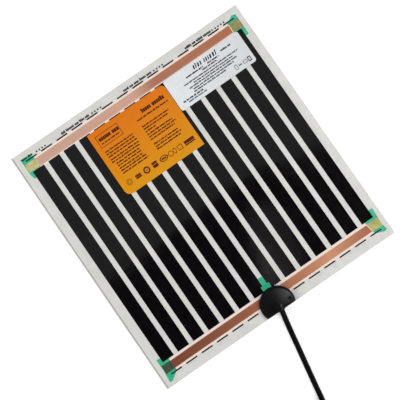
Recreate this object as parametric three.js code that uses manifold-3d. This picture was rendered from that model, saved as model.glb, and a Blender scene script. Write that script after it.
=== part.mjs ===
// Mirror heating mat: a flat electric heating film that is stuck to the back of a mirror.
// Units are millimetres. X runs along the copper bars, Y along the carbon strips, Z up.
// The origin is the middle of the film's underside, which is the face that gets stuck down.
// The mat lies face up. Its supply cord leaves the terminal housing at the -Y edge, and the
// rest of the cord lies beside the mat in a round coil.

import * as THREE from "three";
import { mergeVertices } from "three/addons/utils/BufferGeometryUtils.js";
import Module from "manifold-3d";

// Heating film
const filmWidth = 274;
const filmLength = 278;
const filmThickness = 0.5;
const foilThickness = 0.1; // of the printed strips and of the copper bars

// Carbon strips and copper bars
const stripCount = 14;
const stripWidth = 13.3;
const stripMarginLeft = 11.3; // of bare film beside the outer strips: the print isn't quite central
const stripMarginRight = 8.9;
const barWidth = 9.2;
const barOverhang = 3.5; // past the outer strips
const barEdgeMargin = 13;
const stripGapTop = 0.8; // between the strips and the top bar
const stripGapBottom = 2.4;

// Labels
const labelThickness = 0.12;
const infoLabelWidth = 92.8;
const infoLabelLength = 73.6;
const infoLabelFromLeft = 76;
const infoLabelBelowBar = 1.9;
const infoCornerTopRight = 5.1;
const infoCornerBottomLeft = 6.5;
const labelGap = 0.5;
const ratingLabelWidth = 90.7;
const ratingLabelLength = 35.8;
const ratingLabelBelowBar = 0.5;
const ratingCorner = 2.5;

// Insulating tape
const tapeThickness = 0.06;
const terminalTapeWidth = 9.8;
const terminalTapeLength = 4.4;
const terminalTongueWidth = 5.4;
const terminalTongueLength = 8.6;
const terminalTapeOverlap = 2.2; // tucked under the housing

// Terminal housing
const housingRadius = 18.2;
const housingHeight = 7;
const housingCentreFromFlat = 7.4; // from the flat side to the middle of the round side
const housingCorner = 3.1; // where the round side meets the flat side
const housingEdgeRound = 2.8;
const cordCollarWall = 1.1;
const collarProud = 0.4; // of the flat side, so that its mouth is level with the film's edge
const cordCollarLength = 9;
const cordBoreDepth = 5;
const markSize = 3.6; // a plain square sunk in the housing's top
const markDepth = 0.5;
const markFromCentreX = 11.6;
const markFromFlatSide = 5.6;

// Supply cord
const cordDiameter = 5.6;
const cordTouchGap = 0.3; // between the cord and what it meets
const cordLift = 0.05; // keeps the facets off the floor
const coilMeanRadius = 31;
const coilColumns = 2;
const coilRows = 2;
const tieWidth = 4;
const tieThickness = 1.2;
const tieAngle = 100; // degrees from +X, about the coil's centre
const coreDiameter = 2.3;
const strippedDiameter = 1.2;
const strippedLength = 6;

// Facets
const roundSteps = 40;
const cornerSteps = 4;
const cordSides = 10;
const coreSides = 8;
const leadSteps = 16;
const tailSteps = 8;
const coreSteps = 6;
const ringSteps = 48;
const bevelSteps = 5;
const collarSides = 20;

// The lead's middle line, from inside the housing to the place where it joins the coil's turns
const leadRoute = [
  [1.8, -134.4, 4.4],
  [0.8, -139.2, 4.4],
  [-0.6, -145.6, 4.3],
  [-2.1, -153.0, 4.0],
  [-3.1, -158.5, 3.6],
  [-4.1, -164.0, 3.2],
  [-5.2, -170.0, 2.95],
  [-6.5, -178.0, 2.85],
  [-8.4, -188.0, 2.85],
  [-10.2, -198.0, 2.85],
  [-12.0, -208.0, 2.85],
  [-13.8, -218.0, 2.85],
  [-15.6, -229.0, 2.85],
  [-17.3, -238.0, 2.85],
  [-18.1, -243.3, 2.85],
];

// Where the lead touches the coil's outer turn, and the way that it is heading there
const coilTouch = [-21.7, -264.0];
const coilHeading = [-5.6, -30.0];

// The cord's end, from where it leaves the coil to where its outer sheath is cut back
const tailRoute = [
  [-38.6, -294.4, 2.85],
  [-46.0, -296.8, 2.85],
  [-54.9, -297.9, 2.85],
  [-66.0, -297.0, 2.85],
  [-76.0, -295.5, 2.85],
  [-86.0, -293.9, 2.85],
];

// The two cores past the sheath, from beside each other to a little apart
const coreRoutes = {
  brown: [
    [-86.5, -292.7, 2.6],
    [-93.0, -291.2, 1.7],
    [-100.0, -289.0, 1.2],
    [-108.0, -285.6, 1.2],
  ],
  blue: [
    [-86.8, -295.1, 2.6],
    [-93.5, -294.4, 1.7],
    [-101.0, -294.0, 1.2],
    [-109.6, -294.4, 1.2],
  ],
};

// Sizes that follow from the ones above
const foilBase = filmThickness;
const foilTop = foilBase + foilThickness;
const housingBase = foilTop + tapeThickness; // the terminal tape runs in under the housing
const topEdge = filmLength / 2;
const bottomEdge = -filmLength / 2;
const leftEdge = -filmWidth / 2;
const barTopY = topEdge - barEdgeMargin - barWidth / 2;
const barBottomY = bottomEdge + barEdgeMargin + barWidth / 2;
const stripTopY = barTopY - barWidth / 2 - stripGapTop;
const stripBottomY = barBottomY + barWidth / 2 + stripGapBottom;
const stripSpan = filmWidth - stripMarginLeft - stripMarginRight;
const stripPitch = (stripSpan - stripWidth) / (stripCount - 1);
const patternShift = (stripMarginLeft - stripMarginRight) / 2;
const barLength = stripSpan + 2 * barOverhang;
const cordRadius = cordDiameter / 2;
const coilSectionWidth = coilColumns * cordDiameter;
const coilSectionHeight = coilRows * cordDiameter;
const coilOuterTurnRadius = coilMeanRadius + (coilSectionWidth - cordDiameter) / 2;

const wasm = await Module();
wasm.setup();

const materials = {
  film: new THREE.MeshStandardMaterial({ color: "#dcdcd6", roughness: 0.35, metalness: 0 }),
  carbon: new THREE.MeshStandardMaterial({ color: "#1a1718", roughness: 0.28, metalness: 0 }),
  copper: new THREE.MeshStandardMaterial({ color: "#c98266", roughness: 0.3, metalness: 1 }),
  tape: new THREE.MeshStandardMaterial({ color: "#3fc094", roughness: 0.4, metalness: 0 }),
  orangeLabel: new THREE.MeshStandardMaterial({ color: "#e28018", roughness: 0.5, metalness: 0 }),
  whiteLabel: new THREE.MeshStandardMaterial({ color: "#dfe3e8", roughness: 0.45, metalness: 0 }),
  housing: new THREE.MeshStandardMaterial({ color: "#25262a", roughness: 0.5, metalness: 0 }),
  cord: new THREE.MeshStandardMaterial({ color: "#141416", roughness: 0.45, metalness: 0 }),
  tie: new THREE.MeshStandardMaterial({ color: "#1b1b1d", roughness: 0.6, metalness: 0 }),
  brownCore: new THREE.MeshStandardMaterial({ color: "#6b3f22", roughness: 0.45, metalness: 0 }),
  blueCore: new THREE.MeshStandardMaterial({ color: "#2f6fb4", roughness: 0.45, metalness: 0 }),
  bareCopper: new THREE.MeshStandardMaterial({ color: "#c77b52", roughness: 0.3, metalness: 1 }),
};

const mat = new THREE.Group();

function addPiece(name, geometry, material) {
  const mesh = new THREE.Mesh(geometry, material);
  mesh.name = name;
  mat.add(mesh);
  return mesh;
}

// A flat piece cut to an outline, lying from height base upwards.
function sheetPiece(name, outline, base, thickness, material) {
  const geometry = new THREE.ExtrudeGeometry(outline, {
    depth: thickness,
    bevelEnabled: false,
  });
  const mesh = addPiece(name, geometry, material);
  mesh.position.z = base;
  return mesh;
}

function outlineFrom(points) {
  return new THREE.Shape(points.map(([x, y]) => new THREE.Vector2(x, y)));
}

function arcPoints(x, y, radius, from, to, steps) {
  const points = [];
  for (let k = 0; k <= steps; k += 1) {
    const angle = from + ((to - from) * k) / steps;
    points.push([x + radius * Math.cos(angle), y + radius * Math.sin(angle)]);
  }
  return points;
}

// A rectangle with one radius for each corner: top left, top right, bottom right, bottom left.
function rectangleOutline(left, right, bottom, top, radii = [0, 0, 0, 0]) {
  const corners = [
    [left, top, 1, -1],
    [right, top, -1, -1],
    [right, bottom, -1, 1],
    [left, bottom, 1, 1],
  ];
  const points = corners.flatMap(([x, y, toX, toY], k) => {
    const radius = radii[k];
    const start = Math.PI - (k * Math.PI) / 2;
    const end = start - Math.PI / 2;
    if (radius === 0) return [[x, y]];
    return arcPoints(x + toX * radius, y + toY * radius, radius, start, end, cornerSteps);
  });
  return outlineFrom(points);
}

function centredRectangle(width, length) {
  return rectangleOutline(-width / 2, width / 2, -length / 2, length / 2);
}

// A closed three.js mesh as a solid that can be cut and joined.
function solidOf(geometry, matrix) {
  const bare = geometry.clone();
  bare.applyMatrix4(matrix);
  bare.deleteAttribute("normal");
  bare.deleteAttribute("uv");
  const merged = mergeVertices(bare, 1e-4);
  return new wasm.Manifold(
    new wasm.Mesh({
      numProp: 3,
      vertProperties: new Float32Array(merged.attributes.position.array),
      triVerts: new Uint32Array(merged.index.array),
    }),
  );
}

function geometryOf(solid) {
  const mesh = solid.getMesh();
  const geometry = new THREE.BufferGeometry();
  geometry.setAttribute("position", new THREE.BufferAttribute(mesh.vertProperties, 3));
  geometry.setIndex(new THREE.BufferAttribute(mesh.triVerts, 1));
  geometry.computeVertexNormals();
  return geometry;
}

function boxSolid(low, high) {
  const size = high.map((value, k) => value - low[k]);
  const middle = high.map((value, k) => (value + low[k]) / 2);
  const place = new THREE.Matrix4().makeTranslation(...middle);
  return solidOf(new THREE.BoxGeometry(...size), place);
}

// The film, with the printed carbon strips and the copper bars that feed them

function addFilm() {
  sheetPiece("film_sheet", centredRectangle(filmWidth, filmLength), 0, filmThickness, materials.film);
}

function addStrips() {
  const length = stripTopY - stripBottomY;
  for (let k = 0; k < stripCount; k += 1) {
    const name = `carbon_strip_${String(k + 1).padStart(2, "0")}`;
    const outline = centredRectangle(stripWidth, length);
    const strip = sheetPiece(name, outline, foilBase, foilThickness, materials.carbon);
    strip.position.x = patternShift + (k - (stripCount - 1) / 2) * stripPitch;
    strip.position.y = (stripTopY + stripBottomY) / 2;
  }
}

function addBar(name, y) {
  const outline = centredRectangle(barLength, barWidth);
  const bar = sheetPiece(name, outline, foilBase, foilThickness, materials.copper);
  bar.position.x = patternShift;
  bar.position.y = y;
}

// Tape over the bars' ends. Each outline is measured from the bar's outer corner: x inwards
// along the bar, y towards the strips, so that a minus y is the side of the film's edge.
const tapeOutlines = {
  corner_tape_top_left: {
    side: [-1, 1],
    points: [[-0.4, -6.6], [10.5, -6.6], [13.6, 1.7], [13.4, 8.7], [5.6, 16.7], [1.2, 16.7], [-0.4, 10.0]],
  },
  corner_tape_top_right: {
    side: [1, 1],
    points: [[0.1, -5.0], [0.1, 18.9], [11.2, 18.9], [12.4, 9.5], [12.2, -1.7], [4.0, -6.1]],
  },
  corner_tape_bottom_left: {
    side: [-1, -1],
    points: [[-1.4, -8.7], [-0.6, 5.3], [-0.6, 16.7], [10.2, 16.7], [10.9, -2.5], [9.6, -3.1], [1.8, -8.7]],
  },
  corner_tape_bottom_right: {
    side: [1, -1],
    points: [[-1.0, -5.7], [0.2, 2.3], [-0.8, 19.7], [12.4, 19.7], [13.8, 9.3], [12.2, -0.5], [10.0, -3.1], [2.2, -6.3]],
  },
};

function addCornerTapes() {
  const barLine = { 1: barTopY + barWidth / 2, "-1": barBottomY - barWidth / 2 };
  for (const [name, { side, points }] of Object.entries(tapeOutlines)) {
    const [right, top] = side;
    const cornerX = patternShift + (right * barLength) / 2;
    const outline = outlineFrom(points.map(([x, y]) => [cornerX - right * x, barLine[top] - top * y]));
    sheetPiece(name, outline, foilTop, tapeThickness, materials.tape);
  }
}

// The tape that covers the joint behind the housing: a tongue up the gap and a wider foot
function addTerminalTape() {
  const housingTopY = bottomEdge + collarProud + housingCentreFromFlat + housingRadius;
  const footBottom = housingTopY - terminalTapeOverlap;
  const footTop = housingTopY + terminalTapeLength;
  const tongueTop = footTop + terminalTongueLength;
  const foot = terminalTapeWidth / 2;
  const tongue = terminalTongueWidth / 2;
  const outline = outlineFrom([
    [-foot, footBottom],
    [foot, footBottom],
    [foot, footTop],
    [tongue, footTop],
    [tongue, tongueTop],
    [-tongue, tongueTop],
    [-tongue, footTop],
    [-foot, footTop],
  ]);
  const tape = sheetPiece("terminal_tape", outline, foilTop, tapeThickness, materials.tape);
  tape.position.x = patternShift;
}

function addLabels() {
  const labelBase = foilTop + tapeThickness;
  const barInnerY = barTopY - barWidth / 2;
  const infoLeft = leftEdge + infoLabelFromLeft;
  const infoTop = barInnerY - infoLabelBelowBar;
  const infoOutline = rectangleOutline(
    infoLeft,
    infoLeft + infoLabelWidth,
    infoTop - infoLabelLength,
    infoTop,
    [0, infoCornerTopRight, 0, infoCornerBottomLeft],
  );
  sheetPiece("info_label", infoOutline, foilTop, labelThickness, materials.orangeLabel);

  const ratingLeft = infoLeft + infoLabelWidth + labelGap;
  const ratingTop = barInnerY - ratingLabelBelowBar;
  const ratingOutline = rectangleOutline(
    ratingLeft,
    ratingLeft + ratingLabelWidth,
    ratingTop - ratingLabelLength,
    ratingTop,
    [ratingCorner, ratingCorner, ratingCorner, ratingCorner],
  );
  sheetPiece("rating_label", ratingOutline, labelBase, labelThickness, materials.whiteLabel);
}

// Terminal housing: a low half-round moulding with rounded edges, flush with the film's edge

// The housing's plan, taken in by inset all round. Its corner arcs touch both sides from within.
function housingOutline(inset) {
  const radius = housingRadius - inset;
  const corner = housingCorner - inset;
  const cornerY = inset + corner - housingCentreFromFlat;
  const cornerX = Math.sqrt((radius - corner) ** 2 - cornerY ** 2);
  const meet = Math.atan2(cornerY, cornerX);
  const down = -Math.PI / 2;
  return outlineFrom([
    ...arcPoints(0, 0, radius, meet, Math.PI - meet, roundSteps),
    ...arcPoints(-cornerX, cornerY, corner, Math.PI - meet, 2 * Math.PI + down, cornerSteps).slice(1),
    ...arcPoints(cornerX, cornerY, corner, down, meet, cornerSteps).slice(0, -1),
  ]);
}

// Rounded above and below by the bevel, then cut off at the seat so that the walls stand on it
function housingBody() {
  const bevelled = new THREE.ExtrudeGeometry(housingOutline(housingEdgeRound), {
    depth: housingHeight,
    bevelEnabled: true,
    bevelThickness: housingEdgeRound,
    bevelSize: housingEdgeRound,
    bevelSegments: bevelSteps,
  });
  return solidOf(bevelled, new THREE.Matrix4().makeTranslation(0, 0, -housingEdgeRound));
}

// A turned shape laid along the cord's way out, which slants, with its middle at the mouth
function alongExit(geometry, originX, originY) {
  const inner = new THREE.Vector3(...leadRoute[0]);
  const mouth = new THREE.Vector3(...leadRoute[1]);
  const out = mouth.clone().sub(inner).setZ(0).normalize();
  mouth.sub(new THREE.Vector3(originX, originY, housingBase));
  const turn = new THREE.Quaternion().setFromUnitVectors(new THREE.Vector3(0, 1, 0), out);
  return solidOf(geometry, new THREE.Matrix4().compose(mouth, turn, new THREE.Vector3(1, 1, 1)));
}

function addHousing() {
  const originX = patternShift;
  const originY = bottomEdge + collarProud + housingCentreFromFlat;
  const collarRadius = cordRadius + cordCollarWall;
  const collarMiddle = 2 * (cordCollarLength - collarRadius);
  const collarShape = new THREE.CapsuleGeometry(collarRadius, collarMiddle, cornerSteps, collarSides);
  const boreRadius = cordRadius + cordTouchGap;
  const boreShape = new THREE.CylinderGeometry(boreRadius, boreRadius, 2 * cordBoreDepth, collarSides);
  const reach = 2 * housingRadius;
  const edgeY = bottomEdge - originY;
  const markLow = [markFromCentreX, markFromFlatSide - housingCentreFromFlat, housingHeight - markDepth];
  const markHigh = [markLow[0] + markSize, markLow[1] + markSize, 2 * housingHeight];
  const body = housingBody()
    .add(alongExit(collarShape, originX, originY))
    .intersect(boxSolid([-reach, edgeY, 0], [reach, reach, 2 * housingHeight]))
    .subtract(alongExit(boreShape, originX, originY))
    .subtract(boxSolid(markLow, markHigh));
  const housing = addPiece("terminal_housing", geometryOf(body), materials.housing);
  housing.position.set(originX, originY, housingBase);
}

// Supply cord

function circleOutline(radius, sides) {
  const points = [];
  for (let k = 0; k < sides; k += 1) {
    const angle = (2 * Math.PI * (k + 0.5)) / sides;
    points.push(new THREE.Vector2(radius * Math.cos(angle), radius * Math.sin(angle)));
  }
  return new THREE.Shape(points);
}

function addTube(name, route, diameter, sides, steps, material) {
  const path = new THREE.CatmullRomCurve3(route.map((point) => new THREE.Vector3(...point)));
  const geometry = new THREE.ExtrudeGeometry(circleOutline(diameter / 2, sides), {
    steps,
    extrudePath: path,
    bevelEnabled: false,
  });
  addPiece(name, geometry, material);
}

function coilCentre() {
  const [headX, headY] = coilHeading;
  const size = Math.hypot(headX, headY);
  const [touchX, touchY] = coilTouch;
  return [
    touchX + (headY / size) * coilOuterTurnRadius,
    touchY - (headX / size) * coilOuterTurnRadius,
  ];
}

// The wound turns as one ring with a rounded section
function addCoil() {
  const [x, y] = coilCentre();
  const inner = coilMeanRadius - coilSectionWidth / 2;
  const outer = coilMeanRadius + coilSectionWidth / 2;
  const section = rectangleOutline(inner, outer, 0, coilSectionHeight, [
    cordRadius,
    cordRadius,
    cordRadius,
    cordRadius,
  ]);
  const profile = section.getPoints().reverse();
  profile.push(profile[0].clone());
  const geometry = new THREE.LatheGeometry(profile, ringSteps);
  geometry.rotateX(Math.PI / 2);
  const ring = addPiece("cord_coil", geometry, materials.cord);
  ring.position.set(x, y, cordLift);
}

// A strap over the turns, open at the floor
function addTie() {
  const [x, y] = coilCentre();
  const innerHalf = coilSectionWidth / 2 + cordTouchGap;
  const outerHalf = innerHalf + tieThickness;
  const innerTop = coilSectionHeight + cordTouchGap;
  const outerTop = innerTop + tieThickness;
  const outline = outlineFrom([
    [-outerHalf, 0],
    [-innerHalf, 0],
    [-innerHalf, innerTop],
    [innerHalf, innerTop],
    [innerHalf, 0],
    [outerHalf, 0],
    [outerHalf, outerTop],
    [-outerHalf, outerTop],
  ]);
  const geometry = new THREE.ExtrudeGeometry(outline, { depth: tieWidth, bevelEnabled: false });
  geometry.translate(0, 0, -tieWidth / 2);
  geometry.rotateX(Math.PI / 2);
  const angle = THREE.MathUtils.degToRad(tieAngle);
  const tie = addPiece("coil_tie", geometry, materials.tie);
  tie.rotation.z = angle;
  tie.position.set(x + coilMeanRadius * Math.cos(angle), y + coilMeanRadius * Math.sin(angle), cordLift);
}

function addCore(colour, material) {
  const route = coreRoutes[colour];
  addTube(`core_${colour}`, route, coreDiameter, coreSides, coreSteps, material);
  const end = new THREE.Vector3(...route.at(-1));
  const before = new THREE.Vector3(...route.at(-2));
  const out = end.clone().sub(before).normalize();
  const tip = addPiece(
    `stripped_end_${colour}`,
    new THREE.CylinderGeometry(strippedDiameter / 2, strippedDiameter / 2, strippedLength, coreSides),
    materials.bareCopper,
  );
  tip.quaternion.setFromUnitVectors(new THREE.Vector3(0, 1, 0), out);
  tip.position.copy(end).addScaledVector(out, cordTouchGap + strippedLength / 2);
}

addFilm();
addStrips();
addBar("copper_bar_top", barTopY);
addBar("copper_bar_bottom", barBottomY);
addCornerTapes();
addTerminalTape();
addLabels();
addHousing();
addTube("power_cord", leadRoute, cordDiameter, cordSides, leadSteps, materials.cord);
addCoil();
addTie();
addTube("cord_tail", tailRoute, cordDiameter, cordSides, tailSteps, materials.cord);
addCore("brown", materials.brownCore);
addCore("blue", materials.blueCore);

export default mat;
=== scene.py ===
"""A mirror heating mat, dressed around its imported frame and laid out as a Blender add-on.

It is run as a script. Lengths in the scene are metres, and a size in millimetres is written times MM.
+X runs along the copper bars, +Y along the carbon strips and +Z up from the floor. The mat lies face
up, with its supply cord leaving the housing at the -Y edge and wound into a coil beyond it.
"""

import math
import random

import bmesh
import bpy
from bpy.props import FloatProperty, FloatVectorProperty, PointerProperty
from mathutils import Matrix, Vector


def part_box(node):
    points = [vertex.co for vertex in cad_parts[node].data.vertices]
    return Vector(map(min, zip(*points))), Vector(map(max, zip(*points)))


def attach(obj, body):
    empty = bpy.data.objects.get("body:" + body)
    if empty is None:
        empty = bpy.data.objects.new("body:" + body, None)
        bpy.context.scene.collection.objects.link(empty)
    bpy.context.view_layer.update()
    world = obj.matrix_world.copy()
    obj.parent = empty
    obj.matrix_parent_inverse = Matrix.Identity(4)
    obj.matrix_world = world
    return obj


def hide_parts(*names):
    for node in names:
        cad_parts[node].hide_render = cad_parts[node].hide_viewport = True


bl_info = {
    "name": "Mirror Heating Mat",
    "version": (1, 0, 0),
    "blender": (4, 5, 0),
    "location": "View3D > Sidebar > Heating Mat",
    "description": "Dresses a mirror heating mat: film, strips, foil, tape, labels, housing and cord",
    "category": "Add Mesh",
}

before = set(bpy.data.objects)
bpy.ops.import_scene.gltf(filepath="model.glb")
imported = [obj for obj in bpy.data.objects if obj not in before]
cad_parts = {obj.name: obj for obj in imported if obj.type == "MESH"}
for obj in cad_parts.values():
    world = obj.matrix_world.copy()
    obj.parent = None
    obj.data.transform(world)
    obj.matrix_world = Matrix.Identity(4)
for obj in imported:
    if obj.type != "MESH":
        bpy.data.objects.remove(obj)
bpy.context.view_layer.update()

MM = 0.001
UP = Vector((0, 0, 1))

# What the frame says about the flat pieces
FILM_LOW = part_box("film_sheet")[0]
STRIPS = [f"carbon_strip_{k:02d}" for k in range(1, 15)]
BARS = ["copper_bar_top", "copper_bar_bottom"]
CORNER_TAPES = [
    "corner_tape_top_left",
    "corner_tape_top_right",
    "corner_tape_bottom_left",
    "corner_tape_bottom_right",
]
STRIP_BOXES = [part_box(name) for name in STRIPS]
BAR_BOXES = [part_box(name) for name in BARS]
HOUSING_LOW, HOUSING_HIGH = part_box("terminal_housing")
HOUSING_RADIUS = (HOUSING_HIGH.x - HOUSING_LOW.x) / 2
HOUSING_CENTRE = Vector((HOUSING_LOW.x + HOUSING_RADIUS, HOUSING_HIGH.y - HOUSING_RADIUS, HOUSING_LOW.z))

# The supply cord's middle line, in millimetres: straight out of the housing and down to the floor
LEAD_ROUTE = [
    (1.8, -134.4, 4.4),
    (0.8, -139.2, 4.4),
    (-0.6, -145.6, 4.3),
    (-2.1, -153.0, 4.0),
    (-3.1, -158.5, 3.6),
    (-4.1, -164.0, 3.2),
    (-5.2, -170.0, 2.95),
    (-6.5, -178.0, 2.85),
    (-8.4, -188.0, 2.85),
    (-10.2, -198.0, 2.85),
    (-12.0, -208.0, 2.85),
    (-13.8, -218.0, 2.85),
    (-15.6, -229.0, 2.85),
    (-17.3, -238.0, 2.85),
    (-18.9, -248.0, 2.85),
]
COIL_TOUCH = (-21.7, -264.0)
COIL_HEADING = (-5.6, -30.0)
COIL_MEAN_RADIUS = 31.0
COIL_TURNS = 4.22
COIL_POINTS_PER_TURN = 24
TIE_ANGLE = math.radians(100)
TIE_THICKNESS = 0.8
TIE_WIDTH = 4.0
TAIL_ROUTE = [(-66.0, -297.0, 2.85), (-76.0, -295.5, 2.85), (-86.0, -293.9, 2.85)]
CORE_ROUTES = {
    "brown": [
        (-82.0, -293.8, 3.3),
        (-86.5, -292.7, 2.6),
        (-93.0, -291.2, 1.7),
        (-100.0, -289.0, 1.2),
        (-108.0, -285.6, 1.2),
    ],
    "blue": [
        (-82.0, -295.0, 2.4),
        (-86.8, -295.1, 2.6),
        (-93.5, -294.4, 1.7),
        (-101.0, -294.0, 1.2),
        (-109.6, -294.4, 1.2),
    ],
}

# The photograph's camera
CAMERA_PLACE = (-2.8, -43.1, 943.7)
CAMERA_TARGET = (-3.75, -2.5, 0.0)
CAMERA_TURN = math.radians(34.6)  # of the picture's upright from +Y towards +X
CAMERA_LENS = 85

# Painted reflection: how the foil catches the light along each bar, painted into its colour as (x in
# millimetres, colour)
FOIL_PAINTED_REFLECTION = {
    "copper_bar_top": [(-110, "#facab2"), (0, "#f6c4aa"), (26, "#cd8a6c"), (115, "#c4805f")],
    "copper_bar_bottom": [
        (-110, "#985842"),
        (0, "#ba7657"),
        (35, "#cf8a68"),
        (70, "#dfa27e"),
        (115, "#b57052"),
    ],
}

# Green tape over the foil's end: olive where the foil shows through, and lighter or darker at each corner as
# a painted reflection that follows the foil's
TAPE_OVER_FOIL_WITH_REFLECTION = {
    "corner_tape_top_left": "#b3ad7a",
    "corner_tape_top_right": "#8c8458",
    "corner_tape_bottom_left": "#414c3d",
    "corner_tape_bottom_right": "#a6a462",
    "terminal_tape": "#5f7f5a",
}

INK = 0.02 * MM  # printing ink is far thinner, and this is as thin as lies clear of its ground


def from_hex(code):
    """An sRGB hex colour as the linear RGBA that Blender's shaders take."""
    values = [int(code[k : k + 2], 16) / 255 for k in (1, 3, 5)]
    linear = [v / 12.92 if v <= 0.04045 else ((v + 0.055) / 1.055) ** 2.4 for v in values]
    return (*linear, 1.0)


def smooth_step(start, end, value):
    share = min(max((value - start) / (end - start), 0.0), 1.0)
    return share * share * (3 - 2 * share)


def colour_property(name, code, description):
    return FloatVectorProperty(
        name=name,
        description=description,
        subtype="COLOR",
        size=4,
        min=0,
        max=1,
        default=from_hex(code),
    )


class HeatingMatSizes(bpy.types.PropertyGroup):
    """Sizes that the frame leaves open."""

    left_curl: FloatProperty(
        name="Left Curl",
        description="How far the film's left edge stands up, as it does when it has been rolled",
        default=2.6 * MM,
        unit="LENGTH",
    )
    right_curl: FloatProperty(
        name="Right Curl",
        description="How far the film's right edge stands up",
        default=1.0 * MM,
        unit="LENGTH",
    )
    wave_height: FloatProperty(
        name="Wave Height",
        description="Height of the film's slow waves from trough to crest",
        default=0.4 * MM,
        unit="LENGTH",
    )
    grid_step: FloatProperty(
        name="Grid Step",
        description="Spacing of the cuts that let the flat pieces follow the film",
        default=6.0 * MM,
        unit="LENGTH",
    )
    dash_length: FloatProperty(
        name="Dash Length",
        description="Length of the printed dash beside each strip",
        default=13.0 * MM,
        unit="LENGTH",
    )
    dash_width: FloatProperty(
        name="Dash Width",
        description="Width of the printed dashes",
        default=1.4 * MM,
        unit="LENGTH",
    )
    dash_gap: FloatProperty(
        name="Dash Gap",
        description="From a copper bar's outer edge to the middle of the dashes beside it",
        default=2.6 * MM,
        unit="LENGTH",
    )
    housing_height: FloatProperty(
        name="Housing Height",
        description="Height of the terminal housing's crown over its seat",
        default=7.0 * MM,
        unit="LENGTH",
    )
    housing_crown: FloatProperty(
        name="Housing Crown",
        description="How much lower the housing's top is at its rim than in its middle",
        default=1.9 * MM,
        unit="LENGTH",
    )
    cord_diameter: FloatProperty(
        name="Cord Diameter",
        description="Outer diameter of the supply cord's sheath",
        default=5.6 * MM,
        unit="LENGTH",
    )


class HeatingMatColours(bpy.types.PropertyGroup):
    """Base colours of the main pieces."""

    film: colour_property("Film", "#cbcac6", "White laminated polyester film")
    carbon: colour_property("Carbon", "#0b090b", "Printed carbon ink")
    tape: colour_property("Tape", "#38a883", "Green insulating tape over white film")
    info_label: colour_property("Information Label", "#cf6c08", "Upper colour of the orange label")
    rating_label: colour_property("Rating Label", "#d5d9dc", "White coated label")
    housing: colour_property("Housing", "#040405", "Moulded black housing")
    cord: colour_property("Cord", "#030303", "Black cord sheath")


def settings_of(context):
    return context.scene.heating_mat_sizes, context.scene.heating_mat_colours


# Film: the shape that every flat piece follows


def film_lift(x, y, sizes):
    """How far the film stands off the floor: curled at its ends, with slow waves, and flat by the housing."""
    left = max(0.0, (-x - 62 * MM) / (75 * MM))
    right = max(0.0, (x - 85 * MM) / (52 * MM))
    curl = sizes.left_curl * left**2 + sizes.right_curl * right**2
    broad = math.sin(x / (31 * MM) + y / (64 * MM) + 0.6)
    cross = math.sin(y / (27 * MM) - x / (48 * MM) + 2.1)
    wave = sizes.wave_height * (0.5 + 0.28 * broad + 0.22 * cross)
    from_housing = math.hypot(x - HOUSING_CENTRE.x, y - HOUSING_CENTRE.y)
    return (curl + wave) * smooth_step(24 * MM, 62 * MM, from_housing)


def lay_on_film(bm, sizes):
    """Cuts a flat mesh along one shared grid and lifts it with the film, so that all layers keep together."""
    step = sizes.grid_step
    for axis in (0, 1):
        places = [v.co[axis] for v in bm.verts]
        normal = Vector((1 - axis, axis, 0))
        for k in range(math.ceil(min(places) / step), math.floor(max(places) / step) + 1):
            geometry = bm.verts[:] + bm.edges[:] + bm.faces[:]
            bmesh.ops.bisect_plane(bm, geom=geometry, dist=1e-7, plane_co=normal * k * step, plane_no=normal)
    for v in bm.verts:
        v.co.z += film_lift(v.co.x, v.co.y, sizes)


def sheet_from_node(name):
    """A copy of a flat CAD node's mesh, merged and with its flat faces whole."""
    bm = bmesh.new()
    bm.from_mesh(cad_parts[name].data)
    bmesh.ops.remove_doubles(bm, verts=bm.verts, dist=1e-6)
    bmesh.ops.dissolve_limit(bm, angle_limit=math.radians(1), verts=bm.verts, edges=bm.edges)
    return bm


def object_from(bm, name, sharp_angle=35):
    """A finished piece at the origin, shaded smooth except over its sharp edges."""
    mesh = bpy.data.meshes.new(name)
    bm.to_mesh(mesh)
    bm.free()
    for face in mesh.polygons:
        face.use_smooth = True
    mesh.set_sharp_from_angle(angle=math.radians(sharp_angle))
    obj = bpy.data.objects.new(name, mesh)
    bpy.context.scene.collection.objects.link(obj)
    return obj


def fit_to_mat(obj, materials, stands_for=()):
    """Gives a piece its materials, lets it ride on the mat and hides what it stands for."""
    for material in materials:
        obj.data.materials.append(material)
    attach(obj, "root")
    if stands_for:
        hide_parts(*stands_for)


# Materials


def add_node(tree, kind, inputs=None, **settings):
    """Adds one node with its settings, and links or fills its inputs."""
    node = tree.nodes.new(kind)
    for name, value in settings.items():
        setattr(node, name, value)
    for socket, value in (inputs or {}).items():
        if isinstance(value, bpy.types.NodeSocket):
            tree.links.new(value, node.inputs[socket])
        else:
            node.inputs[socket].default_value = value
    return node


def new_material(name, **values):
    """A material with one Principled shader. Values fill its sockets, with _ for a space in their names."""
    material = bpy.data.materials.new(name)
    material.use_nodes = True
    tree = material.node_tree
    shader = tree.nodes["Principled BSDF"]
    for socket, value in values.items():
        shader.inputs[socket.replace("_", " ")].default_value = value
    coordinates = add_node(tree, "ShaderNodeTexCoord").outputs["Object"]
    return material, tree, shader, coordinates


def drift(tree, coordinates, feature, first, second, stretch=(1, 1, 1), detail=3):
    """A colour that drifts between two others, in patches about one feature across."""
    mapping = add_node(tree, "ShaderNodeMapping", {"Vector": coordinates, "Scale": stretch})
    noise = add_node(
        tree,
        "ShaderNodeTexNoise",
        {"Vector": mapping.outputs[0], "Scale": 1 / feature, "Detail": detail},
    )
    ramp = add_node(tree, "ShaderNodeValToRGB", {"Fac": noise.outputs["Fac"]})
    ramp.color_ramp.elements[0].position = 0.35
    ramp.color_ramp.elements[0].color = first
    ramp.color_ramp.elements[1].position = 0.65
    ramp.color_ramp.elements[1].color = second
    return ramp.outputs["Color"]


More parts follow.
